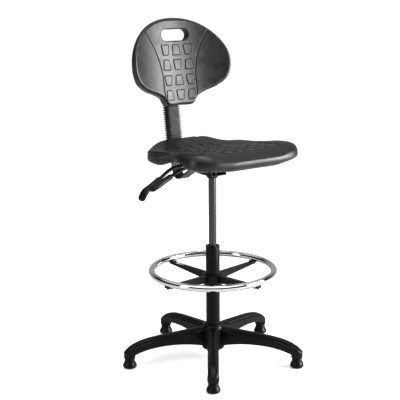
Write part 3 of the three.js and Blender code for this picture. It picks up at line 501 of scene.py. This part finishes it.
# ------------------------------------------------------------------ seat cushion
SEAT_OUTLINE = [
    (0, -254), (110, -251), (184, -232), (220, -196), (230, -144), (220, -84), (198, -29), (196, 35),
    (198, 78), (182, 135), (138, 174), (75, 190), (0, 190),
]
SEAT_MIDDLE = -32
SEAT_REAR, SEAT_FRONT = SEAT_OUTLINE[-1][1], SEAT_OUTLINE[0][1]
SEAT_LEVEL = 768  # the top at the middle of the seat
SEAT_UNDERSIDE = 733
SEAT_RECESS = 745  # the underside inside the edge, where the plate is bolted on
SEAT_TILE_ROWS = range(130, -183, -52)
SEAT_TILE_COLUMNS = range(-161, 162, 46)
SEAT_TILE_TALL = 36
HULL = 1.8  # 1 is a straight slope under the seat's edge and 2 a round one
ROLL = 2.5  # 2 is an elliptical upper edge and more is a fuller one


def seat_under(x, y):
    """The lower edge: raised at the waist over the levers, and lower under the rear lobes."""
    waist = smooth(np.abs(x), 100, 165) * (1 - smooth(np.abs(y + 60), 45, 115))
    lobe = smooth(np.abs(x), 80, 150) * smooth(y, 0, 70)
    return SEAT_UNDERSIDE - 0.02 * y + 11 * waist - 6 * lobe


def seat_crease(y):
    """Distance from the middle of the line between the panel and a rear lobe."""
    return 46 + 92 * np.clip((190 - y) / 230, 0, 1.3) ** 0.8 + 60 * smooth(-y, 20, 110)


def seat_top(x, y):
    """The top: a raised front and sides, a hump behind, lobes past the creases, and tiles."""
    away = np.abs(x)
    front = 23 * smooth(-y, -80, 200)
    hump = 21 * smooth(y, 20, SEAT_REAR) * (1 - smooth(away, 75, 185))
    low_rear = 4 * smooth(y, 20, 120) * smooth(away, 90, 190)
    sides = 10 * smooth(away, 90, 190) * (1 - smooth(y, 80, 180))
    roll = 10 * smooth(-y, 200, -SEAT_FRONT)
    beyond = away - seat_crease(y)
    fade = smooth(y, -110, -60)
    valley = 5 * fade * smooth(beyond, -2, 4) * np.exp(-np.maximum(beyond, 0) / 24)
    line = 1.8 * fade * np.exp(-((beyond / 1.8) ** 2))
    tiles = []
    for row, along in enumerate(SEAT_TILE_ROWS):
        for column, across in enumerate(SEAT_TILE_COLUMNS):
            room = seat_crease(along) if along > -60 else 196 - 0.12 * abs(along + 120)
            if abs(across) + 20 < room:
                top_half, bottom_half = alternating(column, row)
                tiles.append((across, along, SEAT_TILE_TALL, top_half, bottom_half))
    raised = tiles_height(x, y, tiles)
    return SEAT_LEVEL + front + hump + sides - low_rear - roll - valley - line + raised


def make_seat_cushion():
    """One closed skin: over the top, round the edge and in underneath to the recess."""
    around = 1000 // COARSE
    across_rings = 210 // COARSE
    outline = closed_outline(SEAT_OUTLINE, around)
    centre = np.array([0, SEAT_MIDDLE])
    outward = outline - centre
    length = np.linalg.norm(outward, axis=1)
    direction = outward / length[:, None]
    y_edge = outline[:, 1]
    rim = lerp(14, 40, smooth(-y_edge, 20, 200))  # how far in the rounded upper edge reaches
    side = smooth(-y_edge, -20, 70)
    nose = smooth(-y_edge, 195, 250) * (1 - smooth(np.abs(outline[:, 0]), 90, 190))
    sweep = lerp(lerp(22, 62, side), 25, nose)  # how far in the hull-like lower edge reaches
    rise = lerp(14, 23, side)
    tuck = 22 * smooth(y_edge, -175, -110) * (1 - smooth(y_edge, -40, 60))
    parting = smooth(y_edge, -110, -50)
    rings = []

    def ring(distance, height):
        spot = centre + direction * distance[:, None]
        rings.append(np.c_[spot, height(spot[:, 0], spot[:, 1])])

    for share in np.linspace(0.004, 1, across_rings):
        ring((length - rim) * share, seat_top)
    turns = np.linspace(0, math.pi / 2, 12)
    def wall_foot(x, y):
        return seat_under(x, y) + rise

    def wall_head(x, y):
        return lerp(wall_foot(x, y) + 3, seat_top(x, y) - rim * 0.8, parting)

    for turn in turns[1:]:  # over the upper rim
        ring(length - rim * (1 - math.sin(turn) ** (2 / ROLL)), lambda x, y: lerp(
            wall_head(x, y), seat_top(x, y), max(math.cos(turn), 0) ** (2 / ROLL)))
    steps = np.linspace(0, 1, 26)
    for share in steps[1:-1]:  # down the wall, over the parting line
        crease = parting * 2.6 * np.exp(-(((share - 0.12) / 0.07) ** 2))
        inset = crease + tuck * smooth(share, 0.1, 1.0)
        ring(length - inset, lambda x, y: lerp(wall_head(x, y), wall_foot(x, y), share))
    for turn in np.linspace(0, math.pi / 2, 14)[1:]:  # round the lower edge
        inwards = sweep * (1 - math.cos(turn) ** (2 / HULL))
        lift = rise * (1 - math.sin(turn) ** (2 / HULL))
        ring(length - tuck - inwards, lambda x, y: seat_under(x, y) + lift)
    ledge = tuck + sweep + 3
    for share in (0.3, 0.7, 1.0):
        ring(length - ledge - 3 * share, lambda x, y: lerp(seat_under(x, y), SEAT_RECESS, share))
    for share in (0.9, 0.6, 0.3, 0.004):
        ring((length - ledge - 3) * share, lambda x, y: np.full_like(x, SEAT_RECESS))
    vertices, faces = skin(np.array(rings))
    piece = new_object("seat_cushion", from_column(vertices), faces, FOAM)
    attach(piece, "seat_frame")
    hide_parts("seat_pad", "seat_board")
    return piece


# ------------------------------------------------------------------ bellows
BELLOWS_LOW, BELLOWS_HIGH = 6, 222
BELLOWS_HALF_WIDTH, BELLOWS_HALF_DEPTH = 31, 17
BELLOWS_BORE = 5.2  # from the crests in to the bore
FOLDS = 26
FOLD_DEPTH = 4.4
SQUARENESS = 0.36  # 1 is an oval sleeve and 0 a square one


def make_bellows():
    """A sleeve round the upright with square folds, open at both ends."""
    around, per_fold = 72, 16
    low, high = BELLOWS_LOW, BELLOWS_HIGH
    share = np.linspace(0, 1, per_fold * FOLDS + 1)
    from_crest = np.abs(2 * ((share * FOLDS) % 1) - 1)
    depth = FOLD_DEPTH * smooth(from_crest, 0.35, 0.65) + 0.4 * from_crest
    angle = np.linspace(0, 2 * math.pi, around, endpoint=False)
    across = np.sign(np.cos(angle)) * np.abs(np.cos(angle)) ** SQUARENESS
    along = np.sign(np.sin(angle)) * np.abs(np.sin(angle)) ** SQUARENESS

    def ring(height, inwards):
        return np.c_[
            (BELLOWS_HALF_WIDTH - inwards) * across,
            (BELLOWS_HALF_DEPTH - inwards) * along,
            np.full(around, height),
        ]

    rings = [ring(lerp(low, high, part), inwards) for part, inwards in zip(share, depth)]
    inner = [ring(height, BELLOWS_BORE) for height in (high, low)]
    vertices, faces = skin(np.array(rings + inner), loop=True)
    piece = new_object("bellows_sleeve", from_back(vertices), faces, RUBBER)
    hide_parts("bellows")
    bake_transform(piece)
    return piece


# ------------------------------------------------------------------ base
HUB_BOTTOM, HUB_TOP, HUB_RADIUS = 40, 131, 41
LEG_START, GLIDE_CIRCLE = 24, 312
BOSS_RADIUS, BOSS_BOTTOM = 20.5, 38
LEG_TOP, LEG_FALL, NOSE_FALL = 126, 26, 22
ARCH_TOP, ARCH_AT_HUB, ARCH_AT_TIP = 73, 20, 28
LEG_HALF, HUB_FLARE = 19, 3
LEG_WALL = 3.5
NOSE_END = (GLIDE_CIRCLE + BOSS_RADIUS - 0.15 - LEG_START) / (GLIDE_CIRCLE - LEG_START)

# Half a leg's section as (inwards from the side, down from the crown) pairs, from the side wall
# to the crown: the raised crown with a shoulder beside it, and the plain rounded form that it
# runs out into at the hub and over the glide.
CROWNED = [
    (0, 19), (0, 16.5), (0.6, 14.4), (1.8, 12.9), (3.4, 12.3), (4.6, 12.0), (5.3, 10.8), (5.7, 8.5),
    (6.2, 5.8), (7.2, 3.6), (9, 1.9), (11.5, 0.9), (14.5, 0.3), (17.5, 0.05),
]
ROUNDED = [
    (0, 19), (0, 15.5), (0.2, 13), (0.6, 10.8), (1.3, 8.8), (2.3, 7.0), (3.5, 5.5), (4.9, 4.2),
    (6.5, 3.1), (8.3, 2.2), (10.3, 1.4), (12.6, 0.7), (15, 0.3), (17.5, 0.05),
]
HOLLOW = [(LEG_WALL, 24), (3.6, 18), (5, 12.5), (9, 8.6), (14, 7.5)]


def leg_top(share):
    """The crown's height at a share of the way from the hub to the glide."""
    return LEG_TOP - LEG_FALL * share - NOSE_FALL * share**8


def leg_bottom(share):
    """The height of the arch under a leg, kept above the glide boss's foot."""
    arch = ARCH_TOP - lerp(ARCH_AT_HUB, ARCH_AT_TIP, share) * abs(2 * share - 1) ** 2.25
    return max(arch, BOSS_BOTTOM + 1)


def leg_half(share):
    """Half a leg's width: flared at the hub, and following the round boss past the glide."""
    beyond = max(share - 1, 0) * (GLIDE_CIRCLE - LEG_START)
    flared = LEG_HALF + HUB_FLARE * (1 - min(share * 2, 1)) ** 2
    return min(flared, math.sqrt(BOSS_RADIUS**2 - beyond**2))


def leg_section(share):
    """The closed section of the hollow leg at a share of its length."""
    top, bottom, half = leg_top(share), leg_bottom(share), leg_half(share)
    radius = lerp(LEG_START, GLIDE_CIRCLE, share)
    plain = max(1 - smooth(share, 0.08, 0.2), smooth(share, 0.9, 0.99))
    shape = lerp(np.array(CROWNED), np.array(ROUNDED), plain)
    squeeze = half / LEG_HALF

    def side(pairs, sign):
        across = sign * np.maximum(half - pairs[:, 0] * squeeze, 0.2)
        return np.c_[np.full(len(pairs), radius), across, np.maximum(top - pairs[:, 1], bottom)]

    hollow = np.array(HOLLOW)
    inside = half - LEG_WALL * squeeze
    return np.vstack([
        [[radius, half, bottom]], side(shape, 1), side(shape[::-1], -1),
        [[radius, -half, bottom], [radius, -inside, bottom]],
        side(hollow, -1), side(hollow[::-1], 1), [[radius, inside, bottom]],
    ])


def leg():
    """One hollow leg along +x, from inside the hub to its rounded nose over the glide."""
    straight = np.linspace(0, 1, 44)
    nose = lerp(1, NOSE_END, np.sin(np.linspace(0, math.pi / 2, 12)))[1:]
    return skin(np.array([leg_section(share) for share in [*straight, *nose]]))


def leg_rib(share):
    """One cross rib inside a leg."""
    half, top = leg_half(share) - 3.2, leg_top(share) - 8.2
    radius = lerp(LEG_START, GLIDE_CIRCLE, share)
    return block((radius - 2, -half, leg_bottom(share) + 3), (radius + 2, half, top - 8))


def make_base():
    """The base moulding: hub, collar, five hollow ribbed legs and the bosses over the glides."""
    hub = turned(rounded([
        (25.4, HUB_BOTTOM), (37, HUB_BOTTOM), (HUB_RADIUS, 46), (HUB_RADIUS - 2, HUB_TOP - 9),
        (34, HUB_TOP), (25.4, HUB_TOP),
    ], 5, closed=True), 72, loop=True)
    boss = turned(rounded([
        (6, BOSS_BOTTOM), (BOSS_RADIUS, BOSS_BOTTOM), (BOSS_RADIUS, 60), (16, 66), (0.01, 68),
        (0.01, 60.3), (6, 60.3),
    ], 1.2, closed=True), 64, loop=True)
    collar = turned(rounded([(25.4, 126), (33, 126), (33, 131), (30, 133.5), (25.4, 133.5)], 1.5,
                            closed=True), 72, loop=True)
    parts = [hub, collar]
    for i in range(5):
        heading = math.radians(90 + 72 * i)
        parts.append(moved(leg(), heading=heading))
        parts.append(moved(boss, (GLIDE_CIRCLE, 0, 0), heading))
        for share in (0.3, 0.5, 0.7, 0.88):
            parts.append(moved(leg_rib(share), heading=heading))
    vertices, faces = several(parts)
    piece = new_object("base_casting", from_column(vertices), faces, NYLON)
    piece.data.set_sharp_from_angle(angle=math.radians(50))
    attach(piece, "base")
    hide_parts("base_star")


def make_glides():
    """Five flared glides, one under each boss."""
    profile = rounded([
        (0.01, 0), (15.5, 0), (23.4, 4.4), (25, 11), (22.5, 18), (18.6, 25), (17.5, 36), (6, 36),
        (6, 19.7), (0.01, 19.7),
    ], 4)
    for i in range(5):
        heading = math.radians(90 + 72 * i)
        vertices, faces = moved(turned(profile, 56), (GLIDE_CIRCLE, 0, 0), heading)
        piece = new_object(f"glide_shoe_{i + 1}", from_column(vertices), faces, NYLON)
        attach(piece, "base")
        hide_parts(f"glide_{i + 1}")


# ------------------------------------------------------------------ column and foot ring
def make_column():
    """The turned parts of the column: piece, CAD node, body, look, slot and (radius, height) profile."""
    pieces = (
        ("column_sleeve", "column_tube", "base", PAINT, "black_steel", [
            (5.3, 30), (23.8, 30), (25, 131), (25, 421), (23.5, 421), (23.5, 131), (22.3, 34), (5.3, 34)]),
        ("bush_collar", "guide_bush", "base", NYLON, "black_nylon", [
            (14.3, 339), (23.2, 339), (23.2, 421.3), (26, 421.3), (26, 424.3), (14.3, 424.3)]),
        ("lift_cylinder", "gas_cylinder", "seat_frame", LACQUER, "black_steel", [
            (12, 335), (14, 335), (14, 671), (13.2, 709), (3.3, 709), (3.3, 705), (12, 705)]),
        ("socket_cone", "taper_socket", "seat_frame", PAINT, "black_steel", [
            (14.3, 671), (18.5, 671), (21, 676), (21, 706), (13.5, 706)]),
    )
    for name, node, body, material, slot, profile in pieces:
        vertices, faces = turned(rounded(profile, 0.8, 4, closed=True), 96, loop=True)
        piece = new_object(name, from_column(vertices), faces, material)
        piece.data.set_sharp_from_angle(angle=math.radians(40))
        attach(piece, body)
        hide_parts(node)


def make_foot_ring():
    """The chromed ring, sized from its CAD node."""
    low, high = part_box("foot_ring")
    tube = (high.z - low.z) / 2 / MM
    height = (high.z + low.z) / 2 / MM
    radius = (high.x - low.x) / 2 / MM - tube
    angle = np.linspace(0, 2 * math.pi, 40, endpoint=False)
    profile = np.c_[radius + tube * np.cos(angle), height + tube * np.sin(angle)]
    vertices, faces = turned(profile, 240, loop=True)
    piece = new_object("ring_tube", from_column(vertices), faces, CHROME)
    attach(piece, "foot_ring_carriage")
    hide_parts("foot_ring")


# ------------------------------------------------------------------ lever grips
def curve_through(points, count):
    """count points on the smooth curve through points, with even spacing."""
    points = np.array(points, float)
    ends = np.vstack([2 * points[0] - points[1], points, 2 * points[-1] - points[-2]])
    fine = []
    for i in range(1, len(ends) - 2):
        p0, p1, p2, p3 = ends[i - 1 : i + 3]
        t = np.linspace(0, 1, 30, endpoint=False)[:, None]
        fine.append(0.5 * (
            2 * p1 + (p2 - p0) * t + (2 * p0 - 5 * p1 + 4 * p2 - p3) * t**2
            + (3 * p1 - p0 - 3 * p2 + p3) * t**3))
    curve = np.vstack([*fine, points[-1:]])
    run = np.r_[0, np.cumsum(np.linalg.norm(np.diff(curve, axis=0), axis=1))]
    wanted = np.linspace(0, run[-1], count)
    return np.c_[[np.interp(wanted, run, curve[:, k]) for k in range(3)]].T


def swept(spots, half_widths, half_depths, sides=36, power=0.8):
    """A closed skin round a path: wide across y and deep across the path in the xz plane."""
    tangents = np.gradient(spots, axis=0)
    tangents /= np.linalg.norm(tangents, axis=1)[:, None]
    angle = np.linspace(0, 2 * math.pi, sides, endpoint=False)
    across = np.sign(np.cos(angle)) * np.abs(np.cos(angle)) ** power
    through = np.sign(np.sin(angle)) * np.abs(np.sin(angle)) ** power
    rings = []
    for spot, tangent, wide, deep in zip(spots, tangents, half_widths, half_depths):
        side = np.cross([0, 0, 1], tangent)
        side /= np.linalg.norm(side)
        normal = np.cross(tangent, side)
        rings.append(spot + np.outer(across * wide, side) + np.outer(through * deep, normal))
    return skin(np.array(rings))


def grip(path):
    """A moulded paddle: a round sleeve on the rod that swells, then rounds off at the tip."""
    count = 56
    share = np.linspace(0, 1, count)
    tip = np.sqrt(np.maximum(1 - np.maximum((share - 0.84) / 0.16, 0) ** 2.4, 0.0006))
    start = np.sqrt(np.maximum(1 - np.maximum((0.05 - share) / 0.05, 0) ** 2 * 0.3, 0))
    wide = lerp(SLEEVE_RADIUS, GRIP_HALF, smooth(share, 0.15, 0.75)) * tip * start
    deep = lerp(SLEEVE_RADIUS, GRIP_THICK, smooth(share, 0.3, 0.8)) * np.sqrt(tip) * start
    return swept(curve_through(path, count), wide, deep)


LEVER_X, LEVER_Z = -21, 720
ROD_RADIUS = 6.0
SLEEVE_RADIUS = 9.3  # a grip where it starts on its rod
GRIP_HALF, GRIP_THICK = 16, 10
LEVERS = {
    "lift": {
        "rod": [(5, 0, 723.6), (-21, 0, 720), (-70, -4, 720), (-120, -15, 721), (-158, -20, 712),
                (-214, -20, 689)],
        "grip": [(-186, -20, 701), (-228, -20, 682), (-271, -20, 664)],
    },
    "recline": {
        "rod": [(-6, 42, 720), (-21, 42, 720), (-80, 36, 720), (-130, 27, 720), (-165, 25, 711),
                (-225, 25, 673)],
        "grip": [(-203, 25, 687), (-240, 25, 664), (-264, 25, 648), (-281, 25, 620)],
    },
}


def make_levers():
    """Each lever is a bent rod with an eye on its pivot pin, and a grip moulded on its end."""
    spots = 80
    eye_outline = [(2.2, -6.5), (6.5, -6.5), (6.5, 6.5), (2.2, 6.5)]
    eye_points, eye_faces = turned(rounded(eye_outline, 0.5, closed=True), 40, loop=True)
    for name, lever in LEVERS.items():
        radius = np.full(spots, ROD_RADIUS)
        bar = swept(curve_through(lever["rod"], spots), radius, radius, 28, 1.0)
        pivot = np.array([LEVER_X, lever["rod"][1][1], LEVER_Z])
        vertices, faces = several([bar, (eye_points[:, [0, 2, 1]] + pivot, eye_faces)])
        rod = new_object(f"{name}_rod", from_column(vertices), faces, PAINT)
        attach(rod, f"{name}_lever_body")
        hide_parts(f"{name}_lever")
        vertices, faces = grip(lever["grip"])
        piece = new_object(f"{name}_grip", from_column(vertices), faces, NYLON)
        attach(piece, f"{name}_lever_body")
        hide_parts(f"{name}_lever_grip")


# ------------------------------------------------------------------ studio
VIEW = {
    "azimuth": -36.0, "distance": 3.369, "height": 1.3565,
    "pitch": 12.82, "yaw": -0.745, "roll": -0.447, "lens": 88.3,
}


def floor_look():
    """A pale floor that glows a little, and is greyer in the chair's reflections."""
    material, tree, shader = node_material("studio_floor", (0.95, 0.95, 0.95), 0.75, gloss=0.1)
    shader.inputs["Emission Color"].default_value = (1, 1, 1, 1)
    shader.inputs["Emission Strength"].default_value = 0.42
    reflected = tree.nodes.new("ShaderNodeBsdfDiffuse")
    reflected.inputs["Color"].default_value = (0.55, 0.55, 0.55, 1)
    path = tree.nodes.new("ShaderNodeLightPath")
    mix = tree.nodes.new("ShaderNodeMixShader")
    tree.links.new(path.outputs["Is Glossy Ray"], mix.inputs["Fac"])
    tree.links.new(shader.outputs["BSDF"], mix.inputs[1])
    tree.links.new(reflected.outputs["BSDF"], mix.inputs[2])
    tree.links.new(mix.outputs["Shader"], tree.nodes["Material Output"].inputs["Surface"])
    return material


def make_studio():
    """The pale floor, the backdrop and the soft lamps."""
    bpy.ops.mesh.primitive_plane_add(size=300, location=(0, 0, -0.0005))
    floor = bpy.context.object
    floor.name = "studio_floor"
    floor.data.materials.append(floor_look())
    make_sky()
    lamps = (
        ("front_right_box", (2.5, -2.6, 1.2), (2.2, 2.2), 1.1, 330),
        ("left_box", (-3.2, -0.2, 1.5), (0.7, 2.2), 1.0, 28),
        ("top_box", (-0.2, -0.3, 3.6), (1.6, 1.6), 0.75, 35),
    )
    for name, place, size, aim_height, power in lamps:
        data = bpy.data.lights.new(name, "AREA")
        data.shape = "RECTANGLE"
        data.size, data.size_y = size
        data.energy = power
        lamp = bpy.data.objects.new(name, data)
        lamp.location = place
        lamp.visible_camera = False
        aim = Vector((0, 0, aim_height)) - lamp.location
        lamp.rotation_euler = aim.to_track_quat("-Z", "Y").to_euler()
        bpy.context.scene.collection.objects.link(lamp)
    sun = bpy.data.objects.new("soft_sun", bpy.data.lights.new("soft_sun", "SUN"))
    sun.data.energy = 1.0
    sun.data.angle = math.radians(70)
    sun.rotation_euler = (math.radians(14), math.radians(-10), 0)
    bpy.context.scene.collection.objects.link(sun)
    bpy.context.scene.view_settings.view_transform = "Standard"


def make_sky():
    """A white backdrop to look at that lights the chair only a little, so that black stays black."""
    world = bpy.data.worlds.new("studio")
    world.use_nodes = True
    tree = world.node_tree
    dim = tree.nodes["Background"]
    dim.inputs["Strength"].default_value = 0.6
    direction = tree.nodes.new("ShaderNodeTexCoord")
    split = tree.nodes.new("ShaderNodeSeparateXYZ")
    bands = tree.nodes.new("ShaderNodeValToRGB")
    height = ramp(tree, split.outputs["Z"], -1, 1, 0, 1)
    tree.links.new(direction.outputs["Generated"], split.inputs["Vector"])
    tree.links.new(height, bands.inputs["Fac"])
    beyond = tree.nodes.new("ShaderNodeVectorMath")
    beyond.operation = "DOT_PRODUCT"
    ahead = math.radians(-VIEW["azimuth"])
    beyond.inputs[1].default_value = (math.sin(ahead), math.cos(ahead), 0)
    tree.links.new(direction.outputs["Generated"], beyond.inputs[0])
    brighter = tree.nodes.new("ShaderNodeVectorMath")
    brighter.operation = "MAXIMUM"
    tree.links.new(bands.outputs["Color"], brighter.inputs[0])
    tree.links.new(ramp(tree, beyond.outputs["Value"], 0.5, 0.9, 0, 0.55), brighter.inputs[1])
    tree.links.new(brighter.outputs["Vector"], dim.inputs["Color"])
    # brightness by height: 0 is straight down, 0.5 the horizon and 1 straight up
    levels = ((0.0, 1.0), (0.49, 0.9), (0.51, 0.03), (0.78, 0.03), (0.83, 1.0), (0.93, 0.9), (1.0, 0.3))
    for place, level in levels[1:-1]:
        bands.color_ramp.elements.new(place)
    for element, (place, level) in zip(bands.color_ramp.elements, levels):
        element.position = place
        element.color = (level, level, level, 1)
    seen = tree.nodes.new("ShaderNodeBackground")
    seen.inputs["Color"].default_value = (1, 1, 1, 1)
    seen.inputs["Strength"].default_value = 1.0
    path = tree.nodes.new("ShaderNodeLightPath")
    mix = tree.nodes.new("ShaderNodeMixShader")
    tree.links.new(path.outputs["Is Camera Ray"], mix.inputs["Fac"])
    tree.links.new(dim.outputs["Background"], mix.inputs[1])
    tree.links.new(seen.outputs["Background"], mix.inputs[2])
    tree.links.new(mix.outputs["Shader"], tree.nodes["World Output"].inputs["Surface"])
    bpy.context.scene.world = world


def make_camera():
    """The photograph's viewpoint: from the sitter's front right, a little above the seat."""
    azimuth, pitch, yaw, roll = (
        math.radians(VIEW[key]) for key in ("azimuth", "pitch", "yaw", "roll"))
    place = COLUMN + Vector((
        math.sin(azimuth) * VIEW["distance"], -math.cos(azimuth) * VIEW["distance"], VIEW["height"]))
    heading = -azimuth + yaw
    level = Vector((math.sin(heading), math.cos(heading), 0))
    ahead = level * math.cos(pitch) - Vector((0, 0, 1)) * math.sin(pitch)
    right = ahead.cross(Vector((0, 0, 1))).normalized()
    up = right.cross(ahead)
    camera_right = right * math.cos(roll) + up * math.sin(roll)
    camera_up = up * math.cos(roll) - right * math.sin(roll)
    data = bpy.data.cameras.new("photo_view")
    data.lens = VIEW["lens"]
    data.sensor_width = 36
    camera = bpy.data.objects.new("photo_view", data)
    turn = Matrix((camera_right, camera_up, -ahead)).transposed().to_4x4()
    camera.matrix_world = Matrix.Translation(place) @ turn
    bpy.context.scene.collection.objects.link(camera)
    bpy.context.scene.camera = camera


dress_cad()
make_back_cushion()
make_seat_cushion()
make_bellows()
make_base()
make_glides()
make_column()
make_foot_ring()
make_levers()
make_studio()
make_camera()
